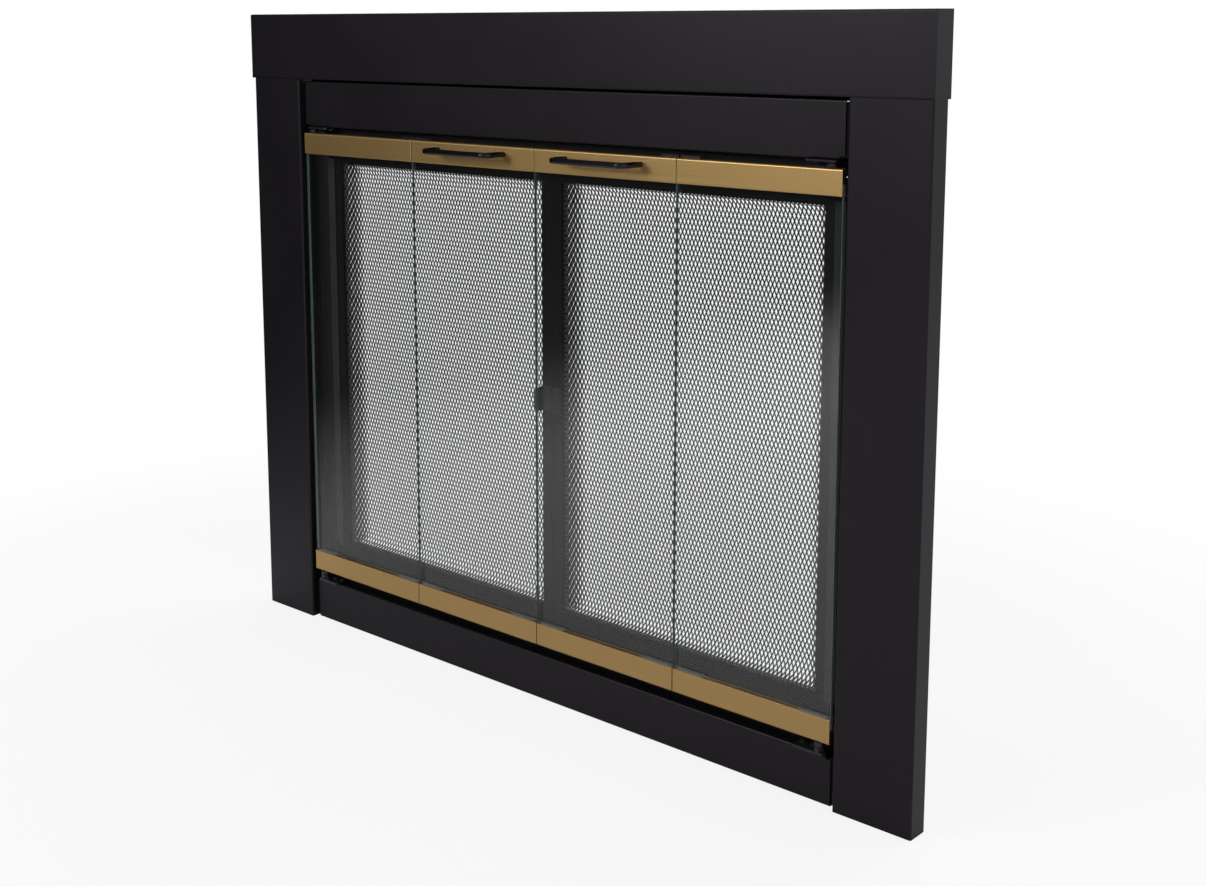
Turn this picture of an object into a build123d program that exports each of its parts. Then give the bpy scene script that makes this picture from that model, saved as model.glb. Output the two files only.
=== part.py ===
from build123d import *
import os

# Bifold glass door for a fireplace: a folded steel surround, two pairs of
# frameless glass leaves in channel rails, and two mesh gates behind them.
# X runs along the width, Y from the room to the wall and Z up. The origin is
# at the bottom, in the middle of the width and of the depth.

os.makedirs("parts", exist_ok=True)

# ---- Surround ------------------------------------------------------------
overall_width = 952.5  # end to end of the hood
overall_height = 762.0
frame_depth = 25.4  # face of the stiles to the wall
frame_sheet = 1.5
frame_bend = 2.0  # outer radius of the folds
fit_gap = 0.25  # between pieces pushed together

hood_height = 78.0
hood_lip = 2.0  # the hood stands this far outside the stiles
hood_hem = 5.0
hood_flange = 12.0
hood_gap = 0.5  # hood to stile, inside

stile_width = 85.7
stile_return = 22.0  # depth of the fold beside the opening
stile_flange = 10.0  # fold against the wall

rail_setback = 6.3  # rails stand behind the face of the stiles
bottom_rail_height = 51.5
top_rail_height = 55.0
top_rail_drop = 2.5  # shadow gap under the hood
top_rail_shelf = 9.7
top_rail_flange = 38.0  # fold that rises behind the hood
rail_end_gap = 6.5  # rail to stile, closed by the corner brackets
rail_notch_width = 5.75
rail_notch_height = 3.5

# ---- Liner behind the opening ---------------------------------------------
liner_sheet = 1.2
liner_bend = 2.0
liner_depth = 28.8
liner_flange = 32.0
liner_side_step = 10.5  # inward from the stile
liner_bottom_step = 18.5  # up from the bottom rail
liner_top_step = 16.5  # down from the top rail

# ---- Glass leaves -----------------------------------------------------------
leaf_gap = 1.0
leaf_side_gap = 6.05
leaf_top_gap = 7.5
leaf_bottom_gap = 12.7
glass_thickness = 4.0
glass_edge = 0.5  # ground edge
channel_height = 25.4
channel_sheet = 1.5
channel_bend = 2.0
channel_cap = 1.2
channel_edge = 0.4  # eased edges of the front
glass_grip = 11.0  # glass inside a channel
clip_wall = 0.5
clip_seat = 1.0  # under the glass
clip_length = 33.0
clip_inset = 5.0  # from the end of the leaf
clip_rise = 1.5  # above the channel
leaf_centre = 6.0  # behind the face of the stiles

# ---- Leaf pivots --------------------------------------------------------------
pivot_inset = 13.5  # from the outer end of the leaf
pivot_radius = 2.5
running_clearance = 0.05
bracket_length = 34.0
bracket_end = 6.5  # pivot to the end of the bracket
bracket_width = 19.0
bracket_front = 5.5  # pivot to the front of the bracket
bracket_thickness = 3.0
upper_bracket_thickness = 2.0
bracket_screw_places = (11.0, 23.0)  # from the pivot, along the bracket
bracket_screw_back = 8.0  # behind the pivot
strap_length = 32.0
strap_thickness = 1.5
pivot_nut_radius = 5.35
pivot_nut_height = 3.0
collar_radius = 5.0
collar_height = 5.0
collar_lift = 0.7  # over the nut below
plug_length = 28.0
plug_clearance = 0.1
plug_chamfer = 0.6

# ---- Fold hinges ----------------------------------------------------------------
fold_pin_radius = 1.5
fold_knuckle_radius = 2.4
fold_knuckle_clearance = 0.4
fold_plate_length = 24.0
fold_plate_thickness = 1.5
fold_plate_rise = 2.5  # past the rail's edge
fold_rivet_places = (8.5, 18.5)
rivet_radius = 1.6
rivet_head_radius = 2.8
rivet_head_height = 0.7

# ---- Handles ------------------------------------------------------------------------
handle_spacing = 101.6
handle_radius = 3.175
handle_bend = 9.5
handle_stand = 26.0  # face of the channel to the middle of the bar
handle_drop = 9.0  # below the top of the channel
handle_screw_radius = 2.0
handle_screw_grip = 10.0
handle_screw_head_radius = 4.0
handle_screw_head = 2.2

# ---- Mesh gates ----------------------------------------------------------------------
gate_setback = 30.0  # behind the face of the stiles
gate_bar = 3.0
gate_stile = 14.0
gate_hinge_stile = 23.45
gate_rail = 27.0
gate_strip_width = 12.0  # stiffener on the front of the hinge bar
gate_strip_thickness = 2.0
gate_strip_over = 5.0  # past the window, above and below
gate_meeting_gap = 1.2
gate_side_gap = 7.0
gate_end_gap = 2.0  # above and below
gate_corner = 1.0
mesh_sheet = 1.0
mesh_depth = 17.5  # behind the bars
mesh_flange = 9.0
mesh_round = 14.0  # inside the drawn edge of the pan
mesh_corner = 15.0
gate_pivot_inset = 16.05
gate_pivot_radius = 2.5
gate_pivot_reach = 6.0
gate_block = 8.0
gate_block_length = 9.0
gate_block_height = 14.0
pull_length = 27.0
pull_taper = 3.5
pull_stand = 15.0
pull_sheet = 1.2
pull_base = 12.0
pull_bend = 1.6
pull_height = 268.0  # above the bottom of the gate
pull_rivet_spacing = 16.0

# ---- Fixings ---------------------------------------------------------------------------
corner_sheet = 2.0
corner_bend = 3.0
corner_leg = 38.0
corner_screw_spacing = 16.0
screw_radius = 2.0
screw_head_radius = 3.8
screw_head_height = 1.8
screw_length = 8.0
clamp_inset = 148.55  # from the stile
clamp_width = 30.0
clamp_sheet = 3.0
clamp_bend = 5.0
clamp_drop = 26.0
clamp_reach = 52.6  # behind the wall's face
clamp_bolt_radius = 4.0
clamp_bolt_back = 12.0  # from the end of the arm
clamp_bolt_rise = 30.0
clamp_bolt_head = 5.5
clamp_nut_height = 6.5
clamp_nut_radius = 7.5
clamp_pad_radius = 10.0
clamp_pad_height = 3.0
hearth_inset = 88.55  # from the stile
hearth_width = 60.0
hearth_leg = 36.0
hearth_reach = 34.6  # behind the wall's face
hearth_hole_radius = 3.5
hearth_hole_spacing = 40.0
hearth_hole_back = 12.0

# ---- Planes and lines worked out from the sizes -----------------------------------------
leaf_face = leaf_centre - glass_thickness / 2 - clip_wall - channel_sheet
handle_reach = handle_stand + handle_radius - leaf_face
face_y = (handle_reach - frame_depth - clamp_reach) / 2
wall_y = face_y + frame_depth

stile_outer = overall_width / 2 - hood_lip
stile_inner = stile_outer - stile_width
stile_height = overall_height - frame_sheet - hood_gap
return_y = face_y + stile_return

hood_bottom = overall_height - hood_height
top_rail_top = hood_bottom - top_rail_drop
top_rail_bottom = top_rail_top - top_rail_height
rail_y = face_y + rail_setback
rail_half = stile_inner - rail_end_gap
corner_spans = [
    (low + frame_bend, high - frame_bend)
    for low, high in ((0, bottom_rail_height), (top_rail_bottom, top_rail_top))
]
clamp_place = stile_inner - clamp_inset
hearth_place = stile_inner - hearth_inset

liner_side = stile_inner - liner_side_step
liner_bottom = bottom_rail_height + liner_bottom_step
liner_top = top_rail_bottom - liner_top_step
liner_back = return_y + liner_depth

glass_width = (2 * (stile_inner - leaf_side_gap) - 3 * leaf_gap) / 4
leaf_bottom = bottom_rail_height + leaf_bottom_gap
leaf_top = top_rail_bottom - leaf_top_gap
glass_bottom = leaf_bottom + channel_height - glass_grip
glass_height = leaf_top - channel_height + glass_grip - glass_bottom
channel_inside = glass_thickness + 2 * clip_wall
channel_width = channel_inside + 2 * channel_sheet
leaf_y = face_y + leaf_centre
channel_front = leaf_y - channel_width / 2
channel_back = leaf_y + channel_width / 2
inner_leaf_x = leaf_gap / 2
outer_leaf_x = inner_leaf_x + glass_width + leaf_gap

pivot_x = outer_leaf_x + glass_width - pivot_inset
bracket_x = pivot_x + bracket_end - bracket_length
bracket_y = leaf_y - bracket_front
lower_nut_z = bottom_rail_height + bracket_thickness
lower_nut_height = leaf_bottom - collar_height - collar_lift - lower_nut_z

fold_x = outer_leaf_x - leaf_gap / 2
fold_y = channel_back + fold_knuckle_radius + fold_knuckle_clearance

gate_y = face_y + gate_setback
gate_inner = gate_meeting_gap / 2
gate_outer = liner_side - gate_side_gap
gate_bottom = liner_bottom + gate_end_gap
gate_top = liner_top - gate_end_gap
gate_width = gate_outer - gate_inner
gate_height = gate_top - gate_bottom
window_width = gate_width - gate_stile - gate_hinge_stile
window_height = gate_height - 2 * gate_rail
gate_middle_x = (gate_inner + gate_outer) / 2
window_middle_x = gate_inner + gate_stile + window_width / 2
gate_middle_z = (gate_bottom + gate_top) / 2
gate_pivot_x = gate_outer - gate_pivot_inset
gate_pivot_y = gate_y + gate_bar + gate_block / 2


def keep(builder, name):
    """Label a finished piece and write it to its file."""
    builder.part.label = name
    export_step(builder.part, f"parts/{name}.step")


def keep_pair(builder, name):
    """Keep a right-hand piece and its mirror image on the left."""
    keep(builder, f"right_{name}")
    with BuildPart() as left:
        mirror(builder.part, about=Plane.YZ)
    keep(left, f"left_{name}")


# ==== Surround ==============================================================
# The hood is folded from one sheet: wall flange, top, face and hem. Its ends
# are closed, its hem stops at the stiles and its flange clears theirs.
with BuildPart() as hood:
    with BuildSketch(Plane.YZ):
        with BuildLine():
            FilletPolyline(
                (wall_y, overall_height - hood_flange),
                (wall_y, overall_height),
                (face_y - hood_lip, overall_height),
                (face_y - hood_lip, hood_bottom),
                (face_y - hood_lip + hood_hem, hood_bottom),
                radius=frame_bend,
            )
            offset(amount=frame_sheet, side=Side.LEFT)
        make_face()
    extrude(amount=overall_width / 2, both=True)
    with BuildSketch(Plane.YZ.offset(overall_width / 2 - frame_sheet)):
        with Locations((wall_y, overall_height)):
            Rectangle(frame_depth + hood_lip, hood_height, align=(Align.MAX, Align.MAX))
        fillet(vertices().group_by(Axis.X)[0].sort_by(Axis.Y)[-1:], frame_bend)
    end = extrude(amount=frame_sheet)
    mirror(end, about=Plane.YZ)
    for side in (1, -1):
        with Locations((side * (stile_inner + stile_outer) / 2, face_y - hood_gap, hood_bottom)):
            Box(
                stile_width + 2 * hood_gap,
                hood_hem,
                2 * frame_bend,
                align=(Align.CENTER, Align.MIN, Align.CENTER),
                mode=Mode.SUBTRACT,
            )
        notch_x = side * (stile_outer - (stile_flange + hood_gap) / 2 + hood_gap / 2)
        with Locations((notch_x, wall_y, overall_height - frame_sheet)):
            Box(
                stile_flange + 2 * hood_gap,
                2 * frame_bend,
                2 * hood_flange,
                align=(Align.CENTER, Align.CENTER, Align.MAX),
                mode=Mode.SUBTRACT,
            )
keep(hood, "header_hood")

# A stile is a deep fold, open to the wall, with a flange that lies on the wall.
with BuildPart() as stile:
    with BuildSketch(Plane.XY):
        with BuildLine():
            FilletPolyline(
                (stile_inner, return_y),
                (stile_inner, face_y),
                (stile_outer, face_y),
                (stile_outer, wall_y),
                (stile_outer - stile_flange, wall_y),
                radius=frame_bend,
            )
            offset(amount=frame_sheet, side=Side.LEFT)
        make_face()
    extrude(amount=stile_height)
    corner_screw_y = (rail_y + frame_sheet + corner_sheet + return_y) / 2
    corner_screw_heights = [
        (low + high) / 2 + step * corner_screw_spacing / 2
        for low, high in corner_spans
        for step in (-1, 1)
    ]
    for height in corner_screw_heights:
        with Locations(Location((stile_inner, corner_screw_y, height), (0, 90, 0))):
            Cylinder(screw_radius, 3 * frame_sheet, mode=Mode.SUBTRACT)
keep_pair(stile, "stile")

# The bottom rail is a channel that ends short of the stiles. Its upper corners
# are cut away, beside the pivot brackets that lie on it.
with BuildPart() as bottom_rail:
    with BuildSketch(Plane.YZ):
        with BuildLine():
            FilletPolyline(
                (return_y, bottom_rail_height),
                (rail_y, bottom_rail_height),
                (rail_y, 0),
                (return_y, 0),
                radius=frame_bend,
            )
            offset(amount=frame_sheet, side=Side.LEFT)
        make_face()
    extrude(amount=rail_half, both=True)
    for side in (1, -1):
        with Locations((side * rail_half, rail_y, bottom_rail_height)):
            Box(
                2 * rail_notch_width,
                2 * stile_return,
                2 * rail_notch_height,
                mode=Mode.SUBTRACT,
            )
        for place in bracket_screw_places:
            with Locations((side * (pivot_x - place), leaf_y + bracket_screw_back, bottom_rail_height)):
                Cylinder(screw_radius, 3 * frame_sheet, mode=Mode.SUBTRACT)
keep(bottom_rail, "bottom_rail")

# The top rail fills the space under the hood. Above its face it steps back
# and rises behind the hood, where the lintel clamps are screwed to it.
with BuildPart() as top_rail:
    with BuildSketch(Plane.YZ):
        with BuildLine():
            FilletPolyline(
                (rail_y + top_rail_shelf, top_rail_top + top_rail_flange),
                (rail_y + top_rail_shelf, top_rail_top),
                (rail_y, top_rail_top),
                (rail_y, top_rail_bottom),
                (return_y, top_rail_bottom),
                radius=frame_bend,
            )
            offset(amount=frame_sheet, side=Side.LEFT)
        make_face()
    extrude(amount=rail_half, both=True)
    clamp_face_y = rail_y + top_rail_shelf + frame_sheet
    clamp_screw_z = top_rail_top + top_rail_flange - clamp_drop / 2
    for side in (1, -1):
        with Locations((side * rail_half, rail_y, top_rail_bottom)):
            Box(
                2 * rail_notch_width,
                2 * stile_return,
                2 * rail_notch_height,
                mode=Mode.SUBTRACT,
            )
        for place in bracket_screw_places:
            with Locations((side * (pivot_x - place), leaf_y + bracket_screw_back, top_rail_bottom)):
                Cylinder(screw_radius, 3 * frame_sheet, mode=Mode.SUBTRACT)
        for step in (-1, 1):
            clamp_screw_x = side * clamp_place + step * clamp_width / 4
            with Locations(Location((clamp_screw_x, clamp_face_y, clamp_screw_z), (90, 0, 0))):
                Cylinder(screw_radius, 3 * frame_sheet, mode=Mode.SUBTRACT)
keep(top_rail, "top_rail")

# ==== Liner ===================================================================
# Four folded angles line the opening behind the leaves. The upper and lower
# ones carry the pivots of the gates in plain holes.
with BuildPart() as side_liner:
    with BuildSketch(Plane.XY.offset(liner_bottom - liner_flange)):
        with BuildLine():
            FilletPolyline(
                (liner_side + liner_flange, return_y),
                (liner_side, return_y),
                (liner_side, liner_back),
                radius=liner_bend,
            )
            offset(amount=liner_sheet, side=Side.RIGHT)
        make_face()
    extrude(amount=liner_top - liner_bottom + 2 * liner_flange)
keep_pair(side_liner, "side_liner")

with BuildPart() as bottom_liner:
    with BuildSketch(Plane.YZ):
        with BuildLine():
            FilletPolyline(
                (return_y, liner_bottom - liner_flange),
                (return_y, liner_bottom),
                (liner_back, liner_bottom),
                radius=liner_bend,
            )
            offset(amount=liner_sheet, side=Side.RIGHT)
        make_face()
    extrude(amount=liner_side - fit_gap, both=True)
    for side in (1, -1):
        with Locations((side * gate_pivot_x, gate_pivot_y, liner_bottom)):
            Cylinder(
                gate_pivot_radius + running_clearance, 3 * liner_sheet, mode=Mode.SUBTRACT
            )
keep(bottom_liner, "bottom_liner")

with BuildPart() as top_liner:
    with BuildSketch(Plane.YZ):
        with BuildLine():
            FilletPolyline(
                (return_y, liner_top + liner_flange),
                (return_y, liner_top),
                (liner_back, liner_top),
                radius=liner_bend,
            )
            offset(amount=liner_sheet, side=Side.LEFT)
        make_face()
    extrude(amount=liner_side - fit_gap, both=True)
    for side in (1, -1):
        with Locations((side * gate_pivot_x, gate_pivot_y, liner_top)):
            Cylinder(
                gate_pivot_radius + running_clearance, 3 * liner_sheet, mode=Mode.SUBTRACT
            )
keep(top_liner, "top_liner")

# ==== Fixings of the surround ===================================================
# A bent angle in each corner closes the joint of rail and stile: one leg is
# spot welded to the back of the rail's face, the other lies on the stile's
# return, where two screws hold it.
with BuildPart() as corner_brackets:
    for low, high in corner_spans:
        with BuildSketch(Plane.XY.offset(low)):
            with BuildLine():
                FilletPolyline(
                    (stile_inner - corner_leg, rail_y + frame_sheet),
                    (stile_inner, rail_y + frame_sheet),
                    (stile_inner, return_y - fit_gap),
                    radius=corner_bend,
                )
                offset(amount=corner_sheet, side=Side.LEFT)
            make_face()
        extrude(amount=high - low)
    for height in corner_screw_heights:
        with Locations(Location((stile_inner, corner_screw_y, height), (0, 90, 0))):
            Cylinder(screw_radius, 3 * corner_sheet, mode=Mode.SUBTRACT)
    mirror(about=Plane.YZ)
keep(corner_brackets, "corner_brackets")

with BuildPart() as corner_screws:
    for height in corner_screw_heights:
        with Locations(
            Location((stile_inner - corner_sheet, corner_screw_y, height), (0, 90, 0))
        ):
            Cylinder(
                screw_head_radius,
                screw_head_height,
                align=(Align.CENTER, Align.CENTER, Align.MAX),
            )
            Cylinder(
                screw_radius, screw_length, align=(Align.CENTER, Align.CENTER, Align.MIN)
            )
    chamfer(edges().filter_by(GeomType.CIRCLE).group_by(Axis.X)[0], screw_head_height / 2)
    mirror(about=Plane.YZ)
keep(corner_screws, "corner_screws")

# A lintel clamp is a bent arm behind the hood, with a nut welded under its end
# for a jack bolt.
clamp_top = top_rail_top + top_rail_flange
clamp_end_y = wall_y + clamp_reach
clamp_bolt_y = clamp_end_y - clamp_bolt_back
with BuildPart() as lintel_clamps:
    with BuildSketch(Plane.YZ.offset(clamp_place - clamp_width / 2)):
        with BuildLine():
            FilletPolyline(
                (clamp_face_y, clamp_top - clamp_drop),
                (clamp_face_y, clamp_top),
                (clamp_end_y, clamp_top),
                radius=clamp_bend,
            )
            offset(amount=clamp_sheet, side=Side.RIGHT)
        make_face()
    extrude(amount=clamp_width)
    fillet(edges().filter_by(Axis.Z).group_by(Axis.Y)[-1], clamp_width / 4)
    with BuildSketch(Plane.XY.offset(clamp_top - clamp_sheet)):
        with Locations((clamp_place, clamp_bolt_y)):
            RegularPolygon(clamp_nut_radius, 6)
    extrude(amount=-clamp_nut_height)
    with Locations((clamp_place, clamp_bolt_y, clamp_top)):
        Cylinder(clamp_bolt_radius, 3 * clamp_nut_height, mode=Mode.SUBTRACT)
    for step in (-1, 1):
        clamp_screw_x = clamp_place + step * clamp_width / 4
        with Locations(Location((clamp_screw_x, clamp_face_y, clamp_screw_z), (90, 0, 0))):
            Cylinder(screw_radius, 3 * clamp_sheet, mode=Mode.SUBTRACT)
    mirror(about=Plane.YZ)
keep(lintel_clamps, "lintel_clamps")

with BuildPart() as clamp_screws:
    for step in (-1, 1):
        clamp_screw_x = clamp_place + step * clamp_width / 4
        with Locations(
            Location((clamp_screw_x, clamp_face_y + clamp_sheet, clamp_screw_z), (90, 0, 0))
        ):
            Cylinder(
                screw_head_radius,
                screw_head_height,
                align=(Align.CENTER, Align.CENTER, Align.MAX),
            )
            Cylinder(
                screw_radius, screw_length, align=(Align.CENTER, Align.CENTER, Align.MIN)
            )
    mirror(about=Plane.YZ)
keep(clamp_screws, "lintel_clamp_screws")

# The jack bolt turns in its nut, and its round pad presses on the lintel.
with BuildPart() as clamp_bolts:
    head_z = clamp_top - clamp_sheet - clamp_nut_height - clamp_bolt_head
    with BuildSketch(Plane.XY.offset(head_z)):
        with Locations((clamp_place, clamp_bolt_y)):
            RegularPolygon(clamp_nut_radius, 6)
    extrude(amount=clamp_bolt_head)
    with Locations((clamp_place, clamp_bolt_y, head_z)):
        Cylinder(
            clamp_bolt_radius,
            clamp_top + clamp_bolt_rise - head_z,
            align=(Align.CENTER, Align.CENTER, Align.MIN),
        )
    with Locations((clamp_place, clamp_bolt_y, clamp_top + clamp_bolt_rise)):
        Cylinder(
            clamp_pad_radius,
            clamp_pad_height,
            align=(Align.CENTER, Align.CENTER, Align.MAX),
        )
    mirror(about=Plane.YZ)
keep(clamp_bolts, "lintel_clamp_bolts")

# A hearth bracket stands inside the bottom rail and reaches back over the
# hearth, where two anchors hold it down.
hearth_end_y = wall_y + hearth_reach
with BuildPart() as hearth_brackets:
    with BuildSketch(Plane.YZ.offset(hearth_place - hearth_width / 2)):
        with BuildLine():
            FilletPolyline(
                (rail_y + frame_sheet, frame_sheet + hearth_leg),
                (rail_y + frame_sheet, frame_sheet),
                (hearth_end_y, frame_sheet),
                radius=clamp_bend,
            )
            offset(amount=clamp_sheet, side=Side.LEFT)
        make_face()
    extrude(amount=hearth_width)
    with Locations((hearth_place, hearth_end_y - hearth_hole_back, frame_sheet)):
        with GridLocations(hearth_hole_spacing, 0, 2, 1):
            Cylinder(hearth_hole_radius, 3 * clamp_sheet, mode=Mode.SUBTRACT)
    fillet(edges().filter_by(Axis.Z).group_by(Axis.Y)[-1], hearth_hole_back / 2)
    mirror(about=Plane.YZ)
keep(hearth_brackets, "hearth_brackets")

# ==== Pivots of the leaves ========================================================
# The lower bracket lies on the bottom rail and carries a stud; the upper one
# hangs under the top rail and has a plain hole for the pin of the leaf.
with BuildPart() as lower_brackets:
    with BuildSketch(Plane.XY.offset(bottom_rail_height)):
        with Locations((bracket_x, bracket_y)):
            Rectangle(bracket_length, bracket_width, align=(Align.MIN, Align.MIN))
        fillet(vertices().group_by(Axis.Y)[0], bracket_front / 2)
        with Locations((pivot_x, leaf_y)):
            Circle(pivot_radius, mode=Mode.SUBTRACT)
        for place in bracket_screw_places:
            with Locations((pivot_x - place, leaf_y + bracket_screw_back)):
                Circle(screw_radius, mode=Mode.SUBTRACT)
    extrude(amount=bracket_thickness)
    mirror(about=Plane.YZ)
keep(lower_brackets, "lower_pivot_brackets")

with BuildPart() as upper_brackets:
    with BuildSketch(Plane.XY.offset(top_rail_bottom - upper_bracket_thickness)):
        with Locations((bracket_x, bracket_y)):
            Rectangle(bracket_length, bracket_width, align=(Align.MIN, Align.MIN))
        fillet(vertices().group_by(Axis.Y)[0], bracket_front / 2)
        with Locations((pivot_x, leaf_y)):
            Circle(pivot_radius + running_clearance, mode=Mode.SUBTRACT)
        for place in bracket_screw_places:
            with Locations((pivot_x - place, leaf_y + bracket_screw_back)):
                Circle(screw_radius, mode=Mode.SUBTRACT)
    extrude(amount=upper_bracket_thickness)
    mirror(about=Plane.YZ)
keep(upper_brackets, "upper_pivot_brackets")

with BuildPart() as bracket_screws:
    for place in bracket_screw_places:
        x, y = pivot_x - place, leaf_y + bracket_screw_back
        with Locations((x, y, bottom_rail_height + bracket_thickness)):
            Cylinder(
                screw_head_radius,
                screw_head_height,
                align=(Align.CENTER, Align.CENTER, Align.MIN),
            )
            Cylinder(
                screw_radius, screw_length, align=(Align.CENTER, Align.CENTER, Align.MAX)
            )
        with Locations((x, y, top_rail_bottom - upper_bracket_thickness)):
            Cylinder(
                screw_head_radius,
                screw_head_height,
                align=(Align.CENTER, Align.CENTER, Align.MAX),
            )
            Cylinder(
                screw_radius, screw_length, align=(Align.CENTER, Align.CENTER, Align.MIN)
            )
    mirror(about=Plane.YZ)
keep(bracket_screws, "pivot_bracket_screws")

# The stud of the lower bracket has a hexagon to hold it and ends in the collar
# of the leaf.
with BuildPart() as lower_studs:
    with Locations((pivot_x, leaf_y, bottom_rail_height)):
        Cylinder(
            pivot_radius,
            leaf_bottom - fit_gap - bottom_rail_height,
            align=(Align.CENTER, Align.CENTER, Align.MIN),
        )
    with BuildSketch(Plane.XY.offset(lower_nut_z)):
        with Locations((pivot_x, leaf_y)):
            RegularPolygon(pivot_nut_radius, 6)
    extrude(amount=lower_nut_height)
    mirror(about=Plane.YZ)
keep(lower_studs, "lower_pivot_studs")

# ==== Glass leaves =================================================================
# Each leaf has a pane, a channel on its upper and its lower edge, and clear
# clips that seat the pane in the lower channel.
fold_rivet_heights = [
    leaf_bottom + channel_height / 2,
    leaf_top - channel_height / 2,
]
handle_z = leaf_top - handle_drop
for row, leaf_x in (("inner", inner_leaf_x), ("outer", outer_leaf_x)):
    with BuildPart() as glass:
        with BuildSketch(Plane.XY.offset(glass_bottom)):
            with Locations((leaf_x, leaf_y)):
                Rectangle(glass_width, glass_thickness, align=(Align.MIN, Align.CENTER))
        extrude(amount=glass_height)
        chamfer(edges(), glass_edge)
    keep_pair(glass, f"{row}_glass")

    # The fold hinge sits on the outer end of an inner leaf and on the inner
    # end of an outer one.
    toward = -1 if row == "inner" else 1
    rivet_xs = [fold_x + toward * place for place in fold_rivet_places]
    for level, web_z, edge_z, into in (
        ("top", leaf_top, leaf_top - channel_height, -1),
        ("bottom", leaf_bottom, leaf_bottom + channel_height, 1),
    ):
        with BuildPart() as channel:
            with BuildSketch(Plane.YZ.offset(leaf_x)):
                with BuildLine():
                    FilletPolyline(
                        (channel_front, edge_z),
                        (channel_front, web_z),
                        (channel_back, web_z),
                        (channel_back, edge_z),
                        radius=channel_bend,
                    )
                    offset(
                        amount=channel_sheet, side=Side.RIGHT if level == "top" else Side.LEFT
                    )
                make_face()
            extrude(amount=glass_width)
            front = faces().sort_by(Axis.Y)[0].edges()
            free_edge = front.filter_by(Axis.X).sort_by(Axis.Z)[0 if level == "top" else -1]
            chamfer(front.filter_by(Axis.Z) + [free_edge], channel_edge)
            # webs close the hollow of the channel at both ends of the leaf
            hollow = channel_height - channel_sheet - glass_grip - fit_gap - clip_seat
            for end_x in (leaf_x, leaf_x + glass_width - channel_cap):
                with BuildSketch(Plane.XY.offset(web_z + into * channel_sheet)):
                    with Locations((end_x, leaf_y)):
                        Rectangle(channel_cap, channel_inside, align=(Align.MIN, Align.CENTER))
                extrude(amount=into * hollow)
            for x in rivet_xs:
                height = (web_z + edge_z) / 2
                with Locations(Location((x, channel_back, height), (90, 0, 0))):
                    Cylinder(rivet_radius, 3 * channel_sheet, mode=Mode.SUBTRACT)
            if row == "outer":
                with Locations((pivot_x, leaf_y, web_z)):
                    Cylinder(pivot_radius, 3 * channel_sheet, mode=Mode.SUBTRACT)
            if row == "inner" and level == "top":
                for step in (-1, 1):
                    x = leaf_x + glass_width / 2 + step * handle_spacing / 2
                    with Locations(Location((x, leaf_y, handle_z), (90, 0, 0))):
                        Cylinder(handle_screw_radius, 2 * channel_width, mode=Mode.SUBTRACT)
        keep_pair(channel, f"{row}_{level}_channel")

    with BuildPart() as clips:
        clip_top = leaf_bottom + channel_height + clip_rise
        for clip_x in (leaf_x + clip_inset, leaf_x + glass_width - clip_inset - clip_length):
            with BuildSketch(Plane.YZ.offset(clip_x)):
                with Locations((leaf_y, glass_bottom - clip_seat)):
                    Rectangle(
                        channel_inside,
                        clip_top - glass_bottom + clip_seat,
                        align=(Align.CENTER, Align.MIN),
                    )
                with Locations((leaf_y, glass_bottom)):
                    Rectangle(
                        glass_thickness,
                        clip_top - glass_bottom,
                        align=(Align.CENTER, Align.MIN),
                        mode=Mode.SUBTRACT,
                    )
            extrude(amount=clip_length)
    keep_pair(clips, f"{row}_setting_clips")

    # Plates of the two fold hinges, riveted to the backs of the channels. The
    # middle knuckle is the inner leaf's, the others are the outer leaf's.
    plate_height = channel_height + fold_plate_rise
    knuckle_height = plate_height / 3
    knuckles = (1,) if row == "inner" else (0, 2)
    bore_clearance = running_clearance if row == "inner" else 0
    with BuildPart() as fold_plates:
        for plate_bottom in (leaf_bottom - fold_plate_rise, leaf_top - channel_height):
            with BuildSketch(Plane.XY.offset(plate_bottom)):
                near = fold_knuckle_radius + fold_knuckle_clearance
                with Locations((fold_x + toward * near, channel_back)):
                    Rectangle(
                        fold_plate_length - near,
                        fold_plate_thickness,
                        align=(Align.MIN if toward > 0 else Align.MAX, Align.MIN),
                    )
            extrude(amount=plate_height)
            for knuckle in knuckles:
                knuckle_z = plate_bottom + knuckle * knuckle_height + running_clearance
                with BuildSketch(Plane.XY.offset(knuckle_z)):
                    with Locations((fold_x, fold_y)):
                        Circle(fold_knuckle_radius)
                    with Locations((fold_x, fold_y - fold_knuckle_radius)):
                        Rectangle(
                            near + fold_plate_thickness,
                            fold_plate_thickness,
                            align=(Align.MIN if toward > 0 else Align.MAX, Align.MIN),
                        )
                    with Locations((fold_x, fold_y)):
                        Circle(fold_pin_radius + bore_clearance, mode=Mode.SUBTRACT)
                extrude(amount=knuckle_height - 2 * running_clearance)
        for x in rivet_xs:
            for height in fold_rivet_heights:
                with Locations(Location((x, channel_back, height), (90, 0, 0))):
                    Cylinder(
                        rivet_head_radius,
                        fold_plate_thickness + rivet_head_height,
                        align=(Align.CENTER, Align.CENTER, Align.MAX),
                    )
                    Cylinder(
                        rivet_radius,
                        channel_sheet,
                        align=(Align.CENTER, Align.CENTER, Align.MIN),
                    )
    keep_pair(fold_plates, f"{row}_fold_plates")

# The pins of the fold hinges are held in the knuckles of the outer leaf.
with BuildPart() as fold_pins:
    for plate_bottom in (leaf_bottom - fold_plate_rise, leaf_top - channel_height):
        with Locations((fold_x, fold_y, plate_bottom)):
            Cylinder(
                fold_pin_radius, plate_height, align=(Align.CENTER, Align.CENTER, Align.MIN)
            )
keep_pair(fold_pins, "fold_pins")

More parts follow.
